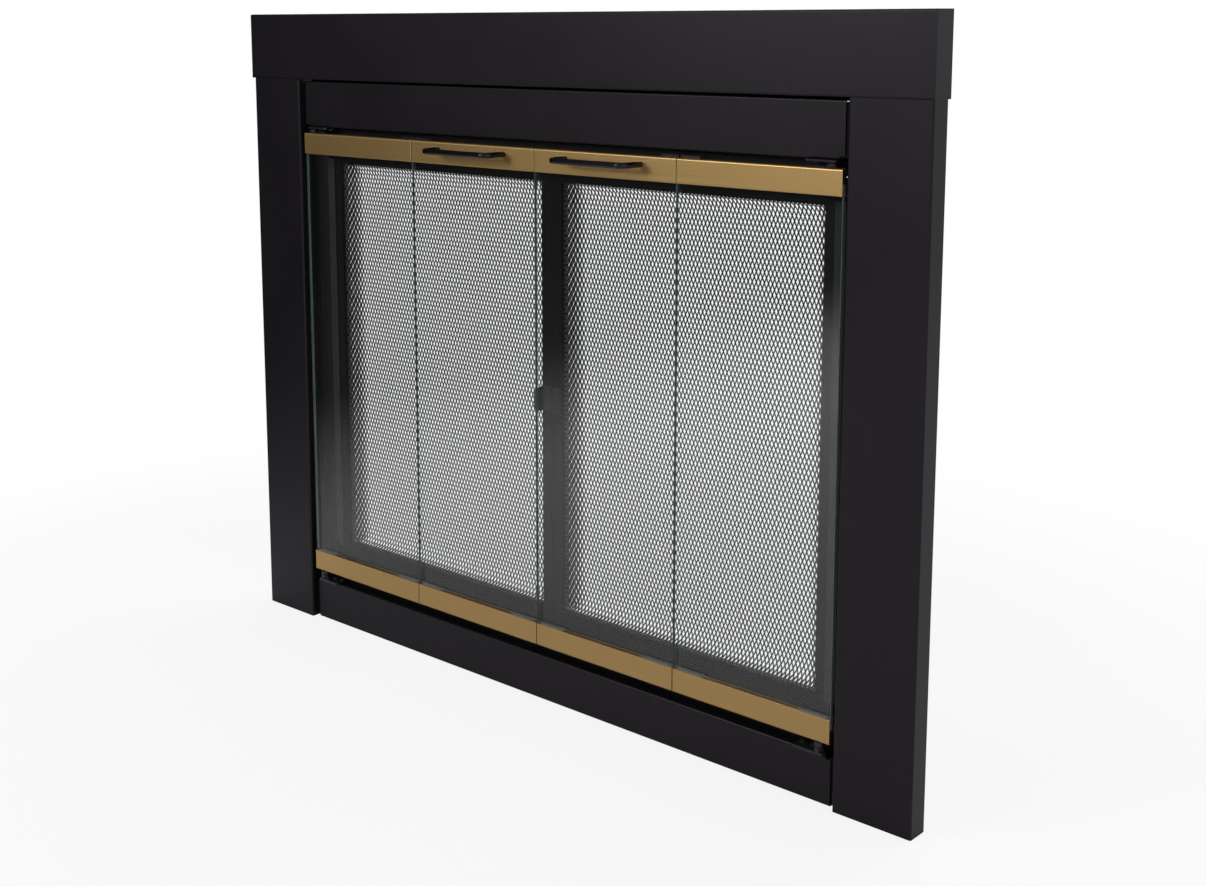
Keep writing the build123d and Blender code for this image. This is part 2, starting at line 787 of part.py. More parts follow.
# Plugs fill the channels of an outer leaf at its pivots. The upper one ends in
# the pin, the lower one in a collar that turns on the stud of the bracket.
plug_width = channel_inside - 2 * plug_clearance
plug_height = channel_height - channel_sheet - glass_grip - 2 * clip_seat
plug_x = outer_leaf_x + glass_width - channel_cap - fit_gap - plug_length
with BuildPart() as plugs:
    for plug_z in (leaf_top - channel_sheet - plug_height, leaf_bottom + channel_sheet):
        with BuildSketch(Plane.YZ.offset(plug_x)):
            with Locations((leaf_y, plug_z)):
                Rectangle(plug_width, plug_height, align=(Align.CENTER, Align.MIN))
            chamfer(vertices(), plug_chamfer)
        extrude(amount=plug_length)
    with Locations((pivot_x, leaf_y, leaf_top - channel_sheet)):
        Cylinder(
            pivot_radius,
            channel_sheet + leaf_top_gap - 2 * fit_gap,
            align=(Align.CENTER, Align.CENTER, Align.MIN),
        )
    with Locations((pivot_x, leaf_y, leaf_bottom + channel_sheet)):
        Cylinder(pivot_radius, channel_sheet, align=(Align.CENTER, Align.CENTER, Align.MAX))
    with Locations((pivot_x, leaf_y, leaf_bottom)):
        Cylinder(collar_radius, collar_height, align=(Align.CENTER, Align.CENTER, Align.MAX))
        Cylinder(
            pivot_radius + running_clearance,
            collar_height,
            align=(Align.CENTER, Align.CENTER, Align.MAX),
            mode=Mode.SUBTRACT,
        )
keep_pair(plugs, "pivot_plugs")

with BuildPart() as straps:
    with BuildSketch(Plane.XY.offset(leaf_top)):
        with Locations((pivot_x + bracket_end, leaf_y)):
            Rectangle(strap_length, channel_width - channel_bend, align=(Align.MAX, Align.CENTER))
        with Locations((pivot_x, leaf_y)):
            Circle(pivot_radius, mode=Mode.SUBTRACT)
    extrude(amount=strap_thickness)
keep_pair(straps, "pivot_strap")

with BuildPart() as upper_nut:
    with BuildSketch(Plane.XY.offset(leaf_top + strap_thickness)):
        with Locations((pivot_x, leaf_y)):
            Circle(pivot_nut_radius)
            Circle(pivot_radius, mode=Mode.SUBTRACT)
    extrude(amount=pivot_nut_height)
    chamfer(edges().filter_by(GeomType.CIRCLE).sort_by(SortBy.RADIUS)[-2:], plug_chamfer)
keep_pair(upper_nut, "pivot_nut")

# ==== Handles ============================================================================
# A round bar with bent ends, held by two screws through the upper channel.
handle_x = inner_leaf_x + glass_width / 2
with BuildPart() as handle:
    with BuildLine(Plane.XY.offset(handle_z)):
        FilletPolyline(
            (handle_x - handle_spacing / 2, channel_front),
            (handle_x - handle_spacing / 2, channel_front - handle_stand),
            (handle_x + handle_spacing / 2, channel_front - handle_stand),
            (handle_x + handle_spacing / 2, channel_front),
            radius=handle_bend,
        )
    with BuildSketch(Plane.XZ.offset(-channel_front)):
        with Locations((handle_x - handle_spacing / 2, handle_z)):
            Circle(handle_radius)
    sweep()
    for step in (-1, 1):
        x = handle_x + step * handle_spacing / 2
        with Locations(Location((x, channel_front, handle_z), (90, 0, 0))):
            Cylinder(
                handle_screw_radius,
                handle_screw_grip,
                align=(Align.CENTER, Align.CENTER, Align.MIN),
                mode=Mode.SUBTRACT,
            )
keep_pair(handle, "handle")

with BuildPart() as handle_screws:
    for step in (-1, 1):
        x = handle_x + step * handle_spacing / 2
        with Locations(Location((x, channel_back, handle_z), (90, 0, 0))):
            Cylinder(
                handle_screw_head_radius,
                handle_screw_head,
                align=(Align.CENTER, Align.CENTER, Align.MAX),
            )
            Cylinder(
                handle_screw_radius,
                channel_width + handle_screw_grip - fit_gap,
                align=(Align.CENTER, Align.CENTER, Align.MIN),
            )
    chamfer(edges().filter_by(GeomType.CIRCLE).group_by(Axis.Y)[-1], handle_screw_head / 2)
keep_pair(handle_screws, "handle_screws")

# ==== Mesh gates ==============================================================================
# A gate is a flat bar frame with a strip welded along its hinge bar and a pan of
# expanded metal behind it.
pull_z = gate_bottom + pull_height
pull_x = gate_inner + gate_stile - pull_sheet
with BuildPart() as gate_frame:
    with BuildSketch(Plane.XZ.offset(-gate_y)):
        with Locations((gate_middle_x, gate_middle_z)):
            RectangleRounded(gate_width, gate_height, gate_corner)
        with Locations((window_middle_x, gate_middle_z)):
            Rectangle(window_width, window_height, mode=Mode.SUBTRACT)
        with Locations((pull_x - pull_base / 2, pull_z)):
            with GridLocations(0, pull_rivet_spacing, 1, 2):
                Circle(rivet_radius, mode=Mode.SUBTRACT)
    extrude(amount=-gate_bar)
    with BuildSketch(Plane.XZ.offset(-gate_y)):
        with Locations((gate_outer - gate_strip_width / 2, gate_middle_z)):
            Rectangle(gate_strip_width, window_height + 2 * gate_strip_over)
    extrude(amount=gate_strip_thickness)
    chamfer(faces().sort_by(Axis.Y)[0].edges(), gate_strip_thickness / 4)
keep_pair(gate_frame, "gate_frame")

# The pan is drawn from flat mesh: a flange on the back of the bars and round
# walls, in line with the window, that run out into a flat floor.
with BuildPart() as mesh_hollow:
    with BuildSketch(Plane.XZ.offset(-gate_y - gate_bar)):
        with Locations((window_middle_x, gate_middle_z)):
            RectangleRounded(window_width, window_height, mesh_corner)
    extrude(amount=mesh_sheet - mesh_depth)
    fillet(faces().sort_by(Axis.Y)[-1].edges(), mesh_round)

with BuildPart() as mesh:
    with BuildSketch(Plane.XZ.offset(-gate_y - gate_bar)):
        with Locations((window_middle_x, gate_middle_z)):
            RectangleRounded(
                window_width + 2 * mesh_sheet,
                window_height + 2 * mesh_sheet,
                mesh_corner + mesh_sheet,
            )
    extrude(amount=-mesh_depth)
    fillet(faces().sort_by(Axis.Y)[-1].edges(), mesh_round + mesh_sheet)
    with BuildSketch(Plane.XZ.offset(-gate_y - gate_bar)):
        with Locations((window_middle_x, gate_middle_z)):
            Rectangle(window_width + 2 * mesh_flange, window_height + 2 * mesh_flange)
    extrude(amount=-mesh_sheet)
    add(mesh_hollow.part, mode=Mode.SUBTRACT)
keep_pair(mesh, "gate_mesh")

# Blocks behind the outer bar of a gate end in the pins that turn in the liner.
# They stand beside the flange of the mesh.
with BuildPart() as gate_pivots:
    for end_z, out in ((gate_bottom, -1), (gate_top, 1)):
        with BuildSketch(Plane.XY.offset(end_z)):
            with Locations((gate_pivot_x, gate_y + gate_bar)):
                Rectangle(gate_block_length, gate_block, align=(Align.CENTER, Align.MIN))
            fillet(vertices().group_by(Axis.Y)[-1], gate_corner)
        extrude(amount=-out * gate_block_height)
        with BuildSketch(Plane.XY.offset(end_z)):
            with Locations((gate_pivot_x, gate_pivot_y)):
                Circle(gate_pivot_radius)
        extrude(amount=out * gate_pivot_reach)
keep_pair(gate_pivots, "gate_pivots")

# A pull is an angle riveted to the meeting bar, with a tapered lip.
with BuildPart() as pull:
    with BuildSketch(Plane.XY.offset(pull_z - pull_length / 2)):
        with BuildLine():
            FilletPolyline(
                (pull_x - pull_base, gate_y),
                (pull_x, gate_y),
                (pull_x, gate_y - pull_stand),
                radius=pull_bend,
            )
            offset(amount=pull_sheet, side=Side.RIGHT)
        make_face()
    extrude(amount=pull_length)
    for step in (-1, 1):
        corner_z = pull_z + step * pull_length / 2
        with BuildSketch(Plane.YZ.offset(pull_x - pull_sheet)):
            with BuildLine():
                Polyline(
                    (gate_y - pull_stand, corner_z),
                    (gate_y - pull_stand, corner_z - step * pull_taper),
                    (gate_y - pull_stand / 2, corner_z),
                    close=True,
                )
            make_face()
        extrude(amount=3 * pull_sheet, mode=Mode.SUBTRACT)
    for step in (-1, 1):
        height = pull_z + step * pull_rivet_spacing / 2
        with Locations(Location((pull_x - pull_base / 2, gate_y, height), (90, 0, 0))):
            Cylinder(
                rivet_head_radius,
                pull_sheet + rivet_head_height,
                align=(Align.CENTER, Align.CENTER, Align.MIN),
            )
            Cylinder(rivet_radius, gate_bar, align=(Align.CENTER, Align.CENTER, Align.MAX))
keep_pair(pull, "gate_pull")
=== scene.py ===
import math
import bmesh
import bpy
from mathutils import Matrix, Vector


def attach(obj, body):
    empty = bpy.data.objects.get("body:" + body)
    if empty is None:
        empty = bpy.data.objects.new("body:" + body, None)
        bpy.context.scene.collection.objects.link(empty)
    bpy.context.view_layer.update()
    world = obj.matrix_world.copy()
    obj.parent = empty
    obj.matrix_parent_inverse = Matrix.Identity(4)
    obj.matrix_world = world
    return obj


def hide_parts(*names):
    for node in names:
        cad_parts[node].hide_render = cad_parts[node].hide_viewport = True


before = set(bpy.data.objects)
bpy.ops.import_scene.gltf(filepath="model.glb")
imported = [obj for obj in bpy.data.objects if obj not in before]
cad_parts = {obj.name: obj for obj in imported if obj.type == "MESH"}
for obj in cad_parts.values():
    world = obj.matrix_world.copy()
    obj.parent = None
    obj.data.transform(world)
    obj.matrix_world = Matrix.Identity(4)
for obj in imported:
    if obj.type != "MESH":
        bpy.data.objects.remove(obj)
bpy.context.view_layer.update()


# Surround: hood, two side stiles and two rails, folded from sheet steel and baked
# with a satin black powder coat. The coat lies as a very fine orange peel.
class Field:
    """One output of a node. Sums and comparisons written with fields add Math nodes."""

    def __init__(self, finish, node, output=0):
        self.finish, self.node = finish, node
        self.socket = node.outputs[output] if node.outputs else None

    def __getitem__(self, output):
        return Field(self.finish, self.node, output)

    def __add__(self, other):
        return self.finish.maths("ADD", self, other)

    def __radd__(self, other):
        return self.finish.maths("ADD", other, self)

    def __sub__(self, other):
        return self.finish.maths("SUBTRACT", self, other)

    def __rsub__(self, other):
        return self.finish.maths("SUBTRACT", other, self)

    def __mul__(self, other):
        return self.finish.maths("MULTIPLY", self, other)

    def __rmul__(self, other):
        return self.finish.maths("MULTIPLY", other, self)

    def __pow__(self, other):
        return self.finish.maths("POWER", self, other)

    def __rpow__(self, other):
        return self.finish.maths("POWER", other, self)

    def __abs__(self):
        return self.finish.maths("ABSOLUTE", self)

    def __lt__(self, other):
        return self.finish.maths("LESS_THAN", self, other)

    def __gt__(self, other):
        return self.finish.maths("GREATER_THAN", self, other)


class Finish:
    """The node tree of a material, or of the world, while it is put together."""

    def __init__(self, name, tree=None):
        if tree is None:
            self.material = bpy.data.materials.new(name)
            self.material.use_nodes = True
            tree = self.material.node_tree
        self.tree = tree
        tree.nodes.clear()

    def node(self, kind, settings=None, values=None, output=0):
        """Adds a node with these settings, and with values or links in its sockets."""
        made = self.tree.nodes.new("ShaderNode" + kind)
        for name, value in (settings or {}).items():
            setattr(made, name, value)
        for name, value in (values or {}).items():
            if isinstance(value, Field):
                self.tree.links.new(value.socket, made.inputs[name])
            else:
                made.inputs[name].default_value = value
        return Field(self, made, output)

    def maths(self, operation, first, second=0.0):
        """One step of arithmetic on fields or numbers."""
        return self.node("Math", {"operation": operation}, {0: first, 1: second})

    def span(self, value, low, high, start=0.0, end=1.0, kind="SMOOTHSTEP"):
        """Turns a run of the value from low to high into one from start to end."""
        return self.node("MapRange", {"interpolation_type": kind}, {
            "Value": value, "From Min": low, "From Max": high, "To Min": start, "To Max": end})

    def place(self, stretch=(1, 1, 1)):
        """The piece's own coordinates in metres, stretched."""
        return self.node("Mapping", None, {
            "Vector": self.node("TexCoord", None, None, "Object"), "Scale": stretch})

    def axes(self, kind="Object"):
        """Coordinates of this kind, one by one."""
        return self.node("SeparateXYZ", None, {"Vector": self.node("TexCoord", None, None, kind)})

    def grain(self, scale, stretch=(1, 1, 1), detail=2.0, rough=0.5):
        """Soft noise from 0 to 1 with so many waves to the metre."""
        return self.node("TexNoise", None, {
            "Vector": self.place(stretch), "Scale": scale, "Detail": detail, "Roughness": rough})

    def shade(self, amount, low, high):
        """A colour between low and high."""
        return self.node("Mix", {"data_type": "RGBA"}, {
            "Factor": amount, 6: (*low, 1), 7: (*high, 1)}, 2)

    def bump(self, strength, height, deep=0.0002):
        """A relief so many metres deep."""
        return self.node("Bump", None, {"Strength": strength, "Distance": deep, "Height": height})

    def shell(self, **sockets):
        """Ends the material in a Principled shader with these sockets."""
        names = {name.replace("_", " "): value for name, value in sockets.items()}
        self.end(self.node("BsdfPrincipled", None, names))

    def end(self, shader, kind="Material"):
        """Sends a shader to the output of the tree."""
        self.node("Output" + kind, None, {"Surface": shader})


def dress(finish, *nodes):
    """Puts a finish on the faces of these parts."""
    for node in nodes:
        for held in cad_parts[node].material_slots:
            held.material = finish.material


def coat(name, low, high, rough, peel, waves, gloss=0.5):
    """A baked coat of paint: cloudy shade, uneven gloss and a fine orange peel."""
    finish = Finish(name)
    cloud = finish.grain(9, detail=3.0)
    fine = finish.grain(waves)
    finish.shell(
        Base_Color=finish.shade(cloud, low, high),
        Roughness=rough + 0.10 * cloud + 0.05 * fine,
        Specular_IOR_Level=gloss,
        Specular_Tint=(0.98, 0.88, 1.0, 1),
        Normal=finish.bump(peel, fine),
    )
    return finish


satin_black = coat("satin_black", (0.0028, 0.0024, 0.0031), (0.0058, 0.0049, 0.0062),
                   0.32, 0.08, 1100, 0.25)
dress(satin_black, "header_hood", "left_stile", "right_stile", "bottom_rail", "top_rail")

# Liner: the folded box behind the surround that fills the mouth of the hearth,
# bare of gloss, in flat black stove paint.
stove_black = coat("stove_black", (0.0025, 0.0025, 0.0026), (0.0052, 0.0050, 0.0049),
                   0.50, 0.03, 1700, 0.15)
dress(stove_black, "left_side_liner", "right_side_liner", "bottom_liner", "top_liner")

# Fixings of the surround: lintel clamps, hearth brackets, screws and bolts, pressed or
# turned from steel and dull zinc plated. The corner brackets get a darker, duller black
# than the surround, as painted shade, so that the gaps beside the rails read dark.
zinc = Finish("zinc_plate")
bath = zinc.grain(60, detail=4.0)
scratch = zinc.grain(300, (1, 1, 8), detail=3.0)
zinc.shell(
    Base_Color=zinc.shade(bath, (0.42, 0.42, 0.41), (0.60, 0.60, 0.58)),
    Metallic=1.0,
    Roughness=0.30 + 0.18 * scratch,
    Normal=zinc.bump(0.15, scratch),
)
dress(zinc, "corner_screws", "lintel_clamps", "lintel_clamp_screws",
      "lintel_clamp_bolts", "hearth_brackets")
# Darker and duller than the surround: painted shade in the gaps beside the rails.
gap_shade_black = coat("gap_shade_black", (0.0015, 0.0015, 0.0015), (0.0035, 0.0035, 0.0035),
                 0.60, 0.05, 1300, 0.10)
dress(gap_shade_black, "corner_brackets")

# Pivots of the leaves: stamped brackets, studs, straps, nuts and fold plates, blackened in
# a hot salt bath and left with a film of oil.
oiled_black = coat("oiled_black", (0.005, 0.005, 0.006), (0.012, 0.012, 0.014),
                   0.20, 0.12, 900, 0.45)
dress(oiled_black, "upper_pivot_brackets", "lower_pivot_brackets", "pivot_bracket_screws",
      "lower_pivot_studs")
for side in ("left", "right"):
    dress(oiled_black, *[side + n for n in (
        "_fold_pins", "_pivot_plugs", "_pivot_strap", "_pivot_nut",
        "_inner_fold_plates", "_outer_fold_plates")])

# Glass: four leaves of toughened float glass, four millimetres thick, clear on the face
# and sea green on the ground edges.
glass = Finish("clear_glass")
leaf_end, end_skin = 0.3825, 0.0004
pane_front, pane_thick, face_skin = -0.0214125, 0.004, 0.00002
spot = glass.axes()
free_end = abs(spot["X"]) > leaf_end - end_skin
# Edges that meet at a fold are seen through each other, so only their front half is ground.
pane_middle = pane_front + pane_thick / 2
front_half = spot["Y"] < pane_middle
between_faces = abs(spot["Y"] - pane_middle) < pane_thick / 2 - face_skin
ground_edge = between_faces * glass.maths("MAXIMUM", free_end, front_half)
slant = glass.node("LayerWeight", None, {"Blend": 0.5}, "Facing")
pane = glass.node("MixShader", None, {
    0: 0.04 + 0.96 * slant ** 5,
    1: glass.node("BsdfTransparent", None, {"Color": (0.962, 0.972, 0.967, 1)}),
    2: glass.node("BsdfGlossy", None, {"Color": (1, 1, 1, 1), "Roughness": 0.01})})
frost = glass.grain(420, (1, 1, 0.1), detail=3.0)
# The ground edges are painted lighter at the free ends of the leaves, a painted highlight, and
# darker where two leaves meet, painted shade.
edge = glass.node("BsdfPrincipled", None, {
    "Base Color": glass.shade(
        frost * (0.3 + 0.7 * free_end), (0.036, 0.058, 0.055), (0.130, 0.190, 0.175)),
    "Roughness": 0.22 + 0.2 * frost})
glass.end(glass.node("MixShader", None, {0: ground_edge, 1: pane, 2: edge}))
for side in ("left", "right"):
    dress(glass, side + "_inner_glass", side + "_outer_glass")

# Rails of the leaves: rolled brass channels, brushed along their length and lacquered.
# Brushing shows as long fine streaks, and the lacquer leaves the shade a little cloudy.
brass = Finish("satin_brass")
brush = brass.grain(1.0, (3, 600, 1800), detail=4.0, rough=0.6)
streaks = brush * 0.7 + brass.grain(7) * 0.3
brass.shell(
    Base_Color=brass.shade(streaks, (0.385, 0.250, 0.098), (0.57, 0.375, 0.155)),
    Metallic=1.0,
    Roughness=0.30 + 0.16 * brush,
    Normal=brass.bump(0.12, brush),
)
for side in ("left", "right"):
    for leaf in ("_inner", "_outer"):
        dress(brass, side + leaf + "_top_channel", side + leaf + "_bottom_channel")

# Setting clips: channels of clear plastic that hold each pane in its rails. They are
# moulded, pushed over the edge of the glass and gripped by the rail.
clip_plastic = coat("clip_plastic", (0.09, 0.10, 0.10), (0.17, 0.18, 0.18), 0.22, 0.05, 800)
for side in ("left", "right"):
    for leaf in ("_inner", "_outer"):
        dress(clip_plastic, side + leaf + "_setting_clips")

# Handles: steel rod, bent twice and dipped in gloss black enamel. Two zinc plated screws
# hold each of them from behind the rail.
gloss_black = coat("gloss_black", (0.002, 0.002, 0.002), (0.004, 0.004, 0.004),
                   0.04, 0.02, 300, 0.26)
for side in ("left", "right"):
    dress(gloss_black, side + "_handle")
    dress(zinc, side + "_handle_screws")

# Gates: flat steel bars butt welded into a frame, with round pivot pins and a folded
# pull, all dipped in flat black stove paint. The strip along the hinge bar is coloured
# a lighter grey than the bars.
strip_front, bar_front = 0.0026, 0.0046
gate_black = Finish("gate_black")
cloud = gate_black.grain(9, detail=3.0)
scale = gate_black.grain(260, (1, 1, 0.15), detail=3.0)
strip = gate_black.axes()["Y"] < (strip_front + bar_front) / 2
gate_black.shell(
    Base_Color=gate_black.shade(strip, (0.0030, 0.0030, 0.0033), (0.0260, 0.0260, 0.0270)),
    Roughness=0.48 + 0.08 * cloud + 0.06 * scale,
    Specular_IOR_Level=0.12,
    Normal=gate_black.bump(0.03, scale),
)
for side in ("left", "right"):
    dress(gate_black, side + "_gate_frame", side + "_gate_pivots", side + "_gate_pull")

# Washers: turned steel rings on the pivot pins that keep each gate off the liner, above
# and below, oiled black like the other pivots.
washer_outer, washer_bore, washer_thick = 0.0095, 0.0026, 0.0018
pin_x, pin_y = 0.355, 0.0115875
washer_levels = (0.0710, 0.6090)
washer_steps = 32
same_place = 1e-6


def backed(work, faces):
    """Closes an open sheet with a second side, and gives back that side's corners."""
    raised = bmesh.ops.extrude_face_region(work, geom=faces)
    return [v for v in raised["geom"] if isinstance(v, bmesh.types.BMVert)]


def built(work, name, finish):
    """Ends the work as an object in this finish."""
    mesh = bpy.data.meshes.new(name)
    work.to_mesh(mesh)
    work.free()
    mesh.materials.append(finish.material)
    made = bpy.data.objects.new(name, mesh)
    bpy.context.scene.collection.objects.link(made)
    return made


for side, way in (("left", -1), ("right", 1)):
    work = bmesh.new()
    for level in washer_levels:
        bore = work.verts.new((washer_bore, 0, level - washer_thick / 2))
        line = bmesh.ops.extrude_vert_indiv(work, verts=[bore])
        bmesh.ops.translate(work, verts=line["verts"], vec=(washer_outer - washer_bore, 0, 0))
        bmesh.ops.spin(
            work, geom=[bore, *line["verts"], *line["edges"]], cent=(0, 0, 0), axis=(0, 0, 1),
            steps=washer_steps, angle=math.tau, use_merge=True)
        bmesh.ops.remove_doubles(work, verts=work.verts, dist=same_place)
        ring = [f for f in work.faces if abs(f.calc_center_median().z - level) < washer_thick]
        bmesh.ops.translate(work, verts=backed(work, ring), vec=(0, 0, washer_thick))
    bmesh.ops.recalc_face_normals(work, faces=work.faces)
    bmesh.ops.translate(work, verts=work.verts, vec=(way * pin_x, pin_y, 0))
    washers = built(work, side + "_gate_washers", oiled_black)
    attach(washers, side + "_gate")

# Gap tape: woven glass-fibre tape, black, stuck under the top liner in front of the gates.
# It closes the gap above them as a dark sheet: painted shade where that gap lies in shade.
shade_tape = Finish("gap_shade_tape")
threads = 520


def thread(direction, stretch):
    """The threads that lie one way through the tape."""
    return shade_tape.node("TexWave", {"bands_direction": direction}, {
        "Vector": shade_tape.place(stretch), "Scale": 1.0, "Distortion": 0.6, "Detail": 2.0})


warp, weft = thread("X", (threads, 1, 1)), thread("Y", (1, threads, 1))
shade_tape.shell(
    Base_Color=shade_tape.shade(warp * weft, (0.004, 0.004, 0.004), (0.014, 0.014, 0.014)),
    Roughness=0.80 + 0.15 * warp,
    Specular_IOR_Level=0.2,
    Normal=shade_tape.bump(0.4, warp * 0.5 + weft * 0.5, 0.0003),
)
shade_tape_half, shade_tape_front, shade_tape_back = 0.3715, -0.0012, 0.0018
shade_tape_top, shade_tape_thick, shade_tape_round = 0.610, 0.0016, 0.0005
shade_tape_cells = (60, 2)
sharp = 1.0  # radians at which an edge counts as an edge of the tape
work = bmesh.new()
bmesh.ops.create_grid(work, x_segments=shade_tape_cells[0], y_segments=shade_tape_cells[1], size=1)
bmesh.ops.scale(work, verts=work.verts, vec=(shade_tape_half, (shade_tape_back - shade_tape_front) / 2, 1))
bmesh.ops.translate(work, verts=work.verts, vec=(
    0, (shade_tape_front + shade_tape_back) / 2, shade_tape_top - shade_tape_thick))
bmesh.ops.translate(work, verts=backed(work, work.faces[:]), vec=(0, 0, shade_tape_thick))
bmesh.ops.recalc_face_normals(work, faces=work.faces)
low_rim = [e for e in work.edges if e.calc_face_angle(0) > sharp
           and e.verts[0].co.z + e.verts[1].co.z < 2 * shade_tape_top - shade_tape_thick]
bmesh.ops.bevel(work, geom=low_rim, offset=shade_tape_round, affect="EDGES", segments=3, profile=0.5,
                material=-1)
# The tape is a dark sheet that stands as painted shade in the gap above the gates.
tape = built(work, "gate_gap_shade_tape", shade_tape)
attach(tape, "surround")

# Spark screens: steel sheet slit and stretched into tall diamonds. The edges are drawn
# back into a shallow round-sided tray, where the slits stay slanted and hardly open.
screen_left, screen_low = 0.0146, 0.099
screen_wide, screen_tall = 0.333, 0.482
screen_front = 0.0083
screen_lip = 0.0085
# Runs of the drawn edge, as length along the sheet and lean from the wall to the floor.
screen_runs = ((0.0065, math.radians(3)), (0.0062, math.radians(42)), (0.0070, math.radians(66)),
               (0.0080, math.radians(80)))
screen_edge = sum(run for run, lean in screen_runs)
diamond_wide, diamond_tall = 0.00487, 0.01075
strand, screen_gauge, louvre = 0.00140, 0.0005, 0.05
lip_louvre = 0.2  # the lip is squeezed flat where it is welded
# The margin of slits: its width at the sides and at the ends, the reach over which the
# ends open, how far the slits are opened, their half height, and their slant on the wall
# and on the bend.
margin, end_margin, end_reach = 0.0125, 0.0030, 0.0090
margin_open, margin_tall = 0.24, 0.0030
slant_runs = ((screen_runs[0][0], -0.0010), (screen_runs[1][0], 0.0010))
whole_diamond = 0.98  # share of its area that a diamond must have to be open
side_corner = 1e-4  # the corners at the side of a diamond are less than this off its middle
lip_depth = 1e-5  # where the tray is less deep than this, it is lip
cut_reach = 1e-7  # corners this near to a cut lie on it

screen_black = Finish("screen_black")
blotch = screen_black.grain(2200)
weave = screen_black.axes("UV")
bright = 0.0
for slope in (weave["X"] + weave["Y"], weave["X"] - weave["Y"]):
    line = screen_black.maths("COSINE", slope * math.tau)
    bright = screen_black.maths("MAXIMUM", bright, line)
knot = (screen_black.maths("COSINE", weave["X"] * math.tau)
        * screen_black.maths("COSINE", weave["Y"] * math.tau))
# The strands are painted lighter than the nodes where they meet: a painted sheen for the light
# that their tilted faces catch.
strand_sheen = screen_black.span(bright - knot * knot, 0.35, 0.95, kind="LINEAR")
screen_black.shell(
    Base_Color=screen_black.shade(strand_sheen, (0.002, 0.002, 0.002), (0.130, 0.130, 0.132)),
    Roughness=0.40 + 0.10 * blotch,
    Specular_IOR_Level=0.15,
    Normal=screen_black.bump(0.15, blotch),
)


def diamonds(wide, tall):
    """A flat sheet of diamonds with its lip all round, and the ones to be opened."""
    cells = math.ceil((wide + 2 * screen_lip) / diamond_wide
                      + (tall + 2 * screen_lip) / diamond_tall) + 2
    work = bmesh.new()
    bmesh.ops.create_grid(work, x_segments=cells, y_segments=cells, size=cells / 2)
    bmesh.ops.rotate(work, verts=work.verts, matrix=Matrix.Rotation(math.pi / 4, 3, "Z"))
    bmesh.ops.scale(work, verts=work.verts, vec=(
        diamond_wide / math.sqrt(2), diamond_tall / math.sqrt(2), 1))
    bmesh.ops.translate(work, verts=work.verts, vec=(wide / 2, tall / 2, 0))
    for place, way in (
            ((-screen_lip, 0, 0), (-1, 0, 0)), ((wide + screen_lip, 0, 0), (1, 0, 0)),
            ((0, -screen_lip, 0), (0, -1, 0)), ((0, tall + screen_lip, 0), (0, 1, 0))):
        bmesh.ops.bisect_plane(work, geom=[*work.verts, *work.edges, *work.faces],
                               dist=cut_reach, plane_co=place, plane_no=way, clear_outer=True)
    # Only whole diamonds are open, so that the cut edge of the sheet stays closed.
    enough = whole_diamond * diamond_wide * diamond_tall / 2
    holes = [f for f in work.faces if f.calc_area() > enough]
    bmesh.ops.inset_individual(work, faces=holes, thickness=strand / 2, use_even_offset=True)
    return work, holes


def stretch(hole, wide, tall):
    """Shapes one hole, which is hardly open in the margin of the sheet."""
    middle = hole.calc_center_median()
    sideways = min(middle.x, wide - middle.x)
    endways = min(middle.y, tall - middle.y)
    pulled = min(1, max(0, min((sideways - margin) / (screen_edge - margin),
                               (endways - end_margin) / end_reach)))
    opening = margin_open + (1 - margin_open) * pulled
    slope = 0.0
    if sideways <= endways:
        way, reach = (1 if middle.x < wide / 2 else -1), 0.0
        for run, lean_over in slant_runs:
            slope = lean_over * way if reach <= sideways < reach + run else slope
            reach += run
    for corner in hole.verts:
        across, up = corner.co.x - middle.x, corner.co.y - middle.y
        corner.co.z = louvre * across
        if abs(up) > side_corner:
            shorter = margin_tall / abs(up) + (1 - margin_tall / abs(up)) * pulled
            corner.co.y = middle.y + up * shorter
            corner.co.x = middle.x + math.copysign(slope, up)
        else:
            corner.co.x = middle.x + opening * across


def drawn(along, size):
    """Where a point of the flat sheet lands when the tray is drawn: its place along
    the size, its depth, the lean of the sheet there and the way that it faces."""
    inset = sum(run * math.sin(lean) for run, lean in screen_runs)
    flat = size - 2 * inset + 2 * screen_edge
    way = 1
    if along > flat / 2:
        along, way = flat - along, -1
    place = depth = lean = 0.0
    if along < 0:
        place, lean = along, math.pi / 2
    else:
        left_over = along
        for run, turn in (*screen_runs, (flat, math.pi / 2)):
            step = min(left_over, run)
            place, depth = place + step * math.sin(turn), depth + step * math.cos(turn)
            lean, left_over = turn, left_over - step
            if left_over <= 0:
                break
    return (size - place if way < 0 else place), depth, lean, way


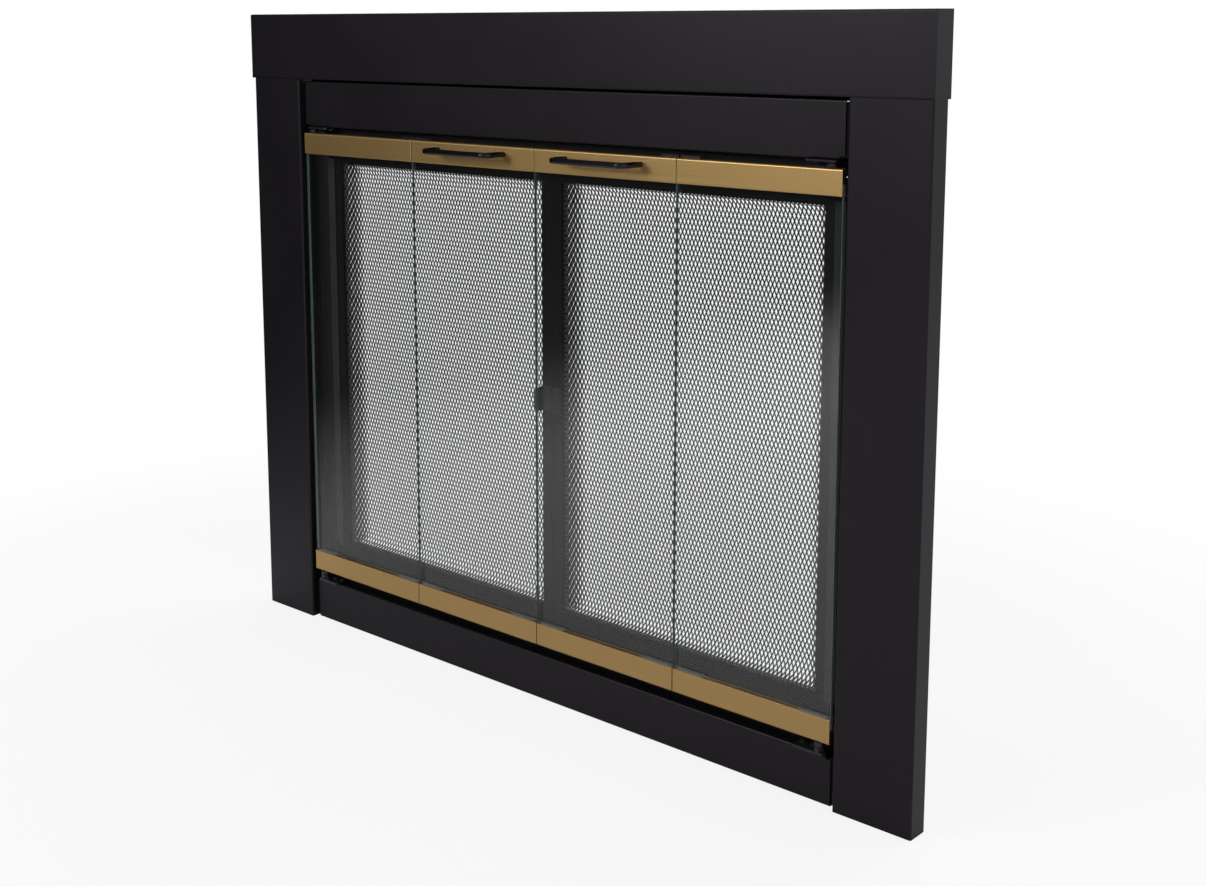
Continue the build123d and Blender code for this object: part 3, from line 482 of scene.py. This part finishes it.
def spark_screen(name, left):
    """One stretched sheet, drawn into its tray, with the window's left edge at left."""
    spare = sum(run * (1 - math.sin(lean)) for run, lean in screen_runs)
    sheet_wide, sheet_tall = screen_wide + 2 * spare, screen_tall + 2 * spare
    work, holes = diamonds(sheet_wide, sheet_tall)
    for hole in holes:
        stretch(hole, sheet_wide, sheet_tall)
    bmesh.ops.delete(work, geom=holes, context="FACES")
    chart = work.loops.layers.uv.new("weave")
    for face in work.faces:
        for loop in face.loops:
            loop[chart].uv = ((loop.vert.co.x - sheet_wide / 2) / diamond_wide,
                              (loop.vert.co.y - sheet_tall / 2) / diamond_tall)
    for corner in work.verts:
        flat_x, flat_z, lift = corner.co
        x, depth_x, lean_x, way_x = drawn(flat_x, screen_wide)
        z, depth_z, lean_z, way_z = drawn(flat_z, screen_tall)
        depth = min(depth_x, depth_z)
        if depth < lip_depth:
            lift *= lip_louvre
        if depth_x <= depth_z:
            x -= way_x * math.cos(lean_x) * lift
            push = math.sin(lean_x) * lift
        else:
            z -= way_z * math.cos(lean_z) * lift
            push = math.sin(lean_z) * lift
        corner.co = (left + x, screen_front + depth + push, screen_low + z)
    bmesh.ops.recalc_face_normals(work, faces=work.faces)
    facing = work.verts.layers.float_vector.new("facing")
    for corner in work.verts:
        corner[facing] = corner.normal
    to_back = math.copysign(screen_gauge, sum(face.normal.y for face in work.faces))
    for corner in backed(work, work.faces[:]):
        corner.co += corner[facing] * to_back
    work.verts.layers.float_vector.remove(facing)
    bmesh.ops.recalc_face_normals(work, faces=work.faces)
    return built(work, name, screen_black)


for side, left in (("left", -screen_left - screen_wide), ("right", screen_left)):
    screen = spark_screen(side + "_spark_screen", left)
    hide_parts(side + "_gate_mesh")
    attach(screen, side + "_gate")

# Studio: a pale floor with dark ground at its left, a room that is white behind the
# object and dims to the left in front of it, three soft lamps and the camera.
floor = Finish("studio_floor")
paper = floor.span(floor.axes()["X"], -1.4, -0.5)
lit = floor.node("BsdfDiffuse", None, {
    "Color": floor.shade(paper, (0.05, 0.05, 0.05), (0.86, 0.86, 0.86))})
glow = floor.node("Emission", None, {"Color": (1, 1, 1, 1), "Strength": 1.0})
far = floor.node("VectorMath", {"operation": "LENGTH"}, {0: floor.place()}, "Value")
spread = floor.span(far, 0.5, 1.3, 0.84)
seen = floor.node("LightPath")["Is Camera Ray"]
floor.end(floor.node("MixShader", None, {0: seen * spread, 1: lit, 2: glow}))
floor_reach = 40
work = bmesh.new()
bmesh.ops.create_circle(work, cap_ends=True, segments=96, radius=floor_reach)
ground = built(work, "studio_floor", floor)

world = bpy.data.worlds.new("studio")
bpy.context.scene.world = world
world.use_nodes = True
room = Finish("studio", world.node_tree)
path = room.node("LightPath")
seen = room.maths("MAXIMUM", path["Is Camera Ray"], path["Is Transmission Ray"])
heading = room.axes("Generated")
front = room.span(heading["X"], -0.77, -0.48, 0.025, 0.50)
behind = room.span(heading["Y"], 0.1, 0.6, 0.0, 0.6)
strength = room.maths("MAXIMUM", seen, front * (1 - behind) + behind)
room.end(room.node("Background", None, {"Color": (1, 1, 1, 1), "Strength": strength}), "World")


def lamp(name, power, size, place, aim):
    """A soft square lamp at place, turned to aim."""
    light = bpy.data.lights.new(name, "AREA")
    light.energy, light.size = power, size
    held = bpy.data.objects.new(name, light)
    bpy.context.scene.collection.objects.link(held)
    held.location = place
    held.rotation_euler = (Vector(aim) - Vector(place)).to_track_quat("-Z", "Y").to_euler()


lamp("key_lamp", 28, 0.9, (-1.1, -2.4, 1.5), (0, 0, 0.35))
lamp("fill_lamp", 18, 2.0, (2.6, -1.6, 1.6), (0, 0, 0.35))
lamp("back_lamp", 18, 1.6, (0.4, 2.4, 2.0), (0, 0, 0.4))

camera = bpy.data.cameras.new("camera")
camera.sensor_width = 36
camera.lens = 48.493
camera.shift_x, camera.shift_y = 0.05, -0.14
camera.clip_start = 0.05
viewer = bpy.data.objects.new("camera", camera)
bpy.context.scene.collection.objects.link(viewer)
yaw, pitch, roll = map(math.radians, (42.659, 8.923, -0.278))
viewer.matrix_world = (
    Matrix.Translation((1.178, -1.2884, 0.7546))
    @ Matrix.Rotation(yaw, 4, "Z")
    @ Matrix.Rotation(math.pi / 2 - pitch, 4, "X")
    @ Matrix.Rotation(roll, 4, "Z"))
bpy.context.scene.camera = viewer
bpy.context.scene.view_settings.view_transform = "Standard"
